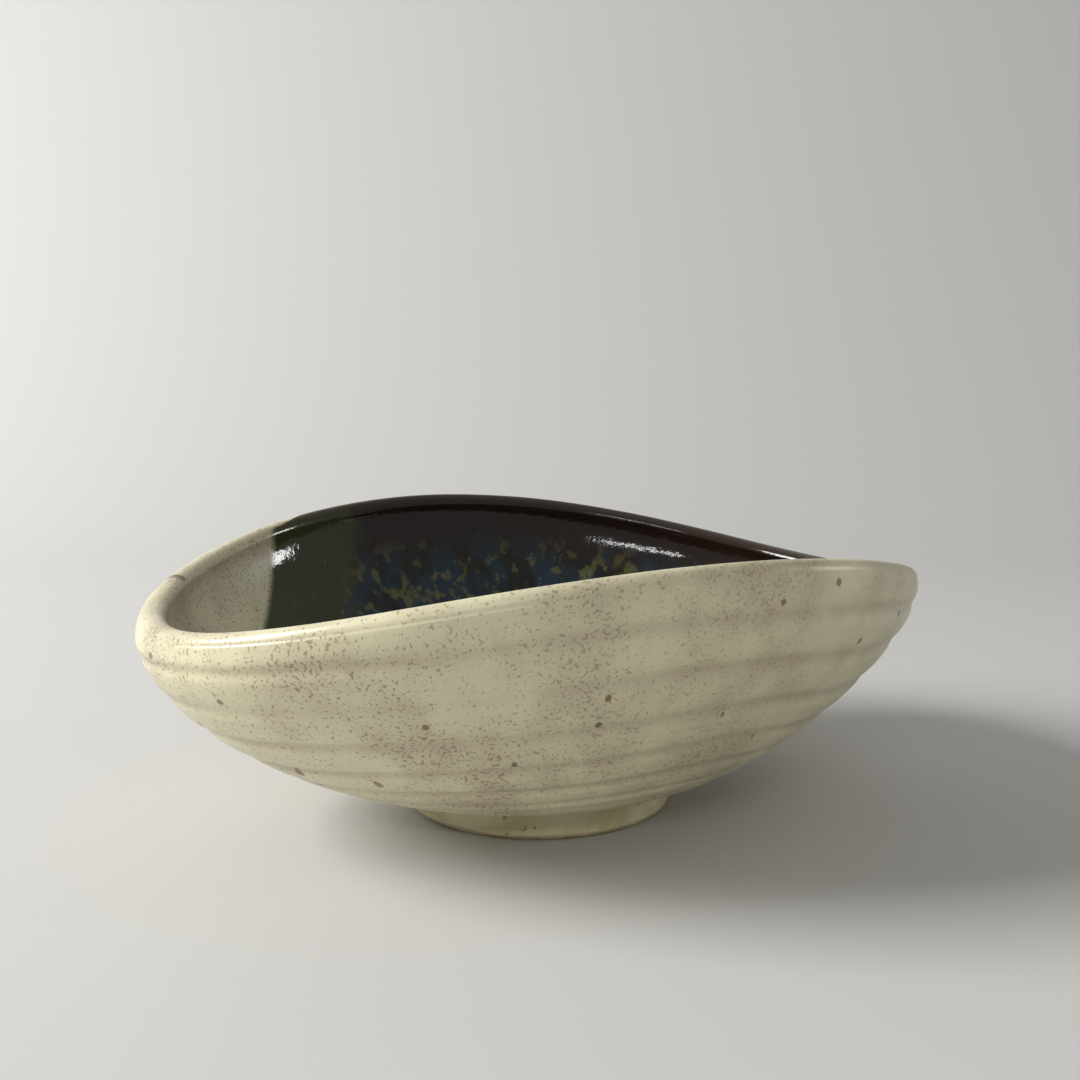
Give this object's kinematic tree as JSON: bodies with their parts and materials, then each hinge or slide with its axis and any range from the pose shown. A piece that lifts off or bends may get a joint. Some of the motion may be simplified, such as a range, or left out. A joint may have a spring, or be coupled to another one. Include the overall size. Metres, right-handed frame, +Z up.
{
  "type": "oval bowl",
  "caption": "Hand-thrown stoneware bowl pressed oval, with a waved rounded rim, throwing rings outside, cream and dark glaze coats and a round foot ring.",
  "frame": {"origin": "on the standing plane, under the middle of the bowl's box", "axes": "+X along the oval's long axis, +Z up"},
  "size_m": [0.1796, 0.144, 0.064],
  "materials": {
    "stoneware": "bare fired clay, matt",
    "foot_clay": "thin cream glaze on the side, bare standing edge",
    "cream_glaze": "semi-gloss cream with iron specks",
    "dark_glaze": "glossy near-black with olive mottling"
  },
  "bodies": {
    "root": {"bowl_wall": "stoneware", "foot_ring": "foot_clay", "cream_glaze_coat": "cream_glaze", "dark_glaze_coat": "dark_glaze"}
  },
  "joints": []
}
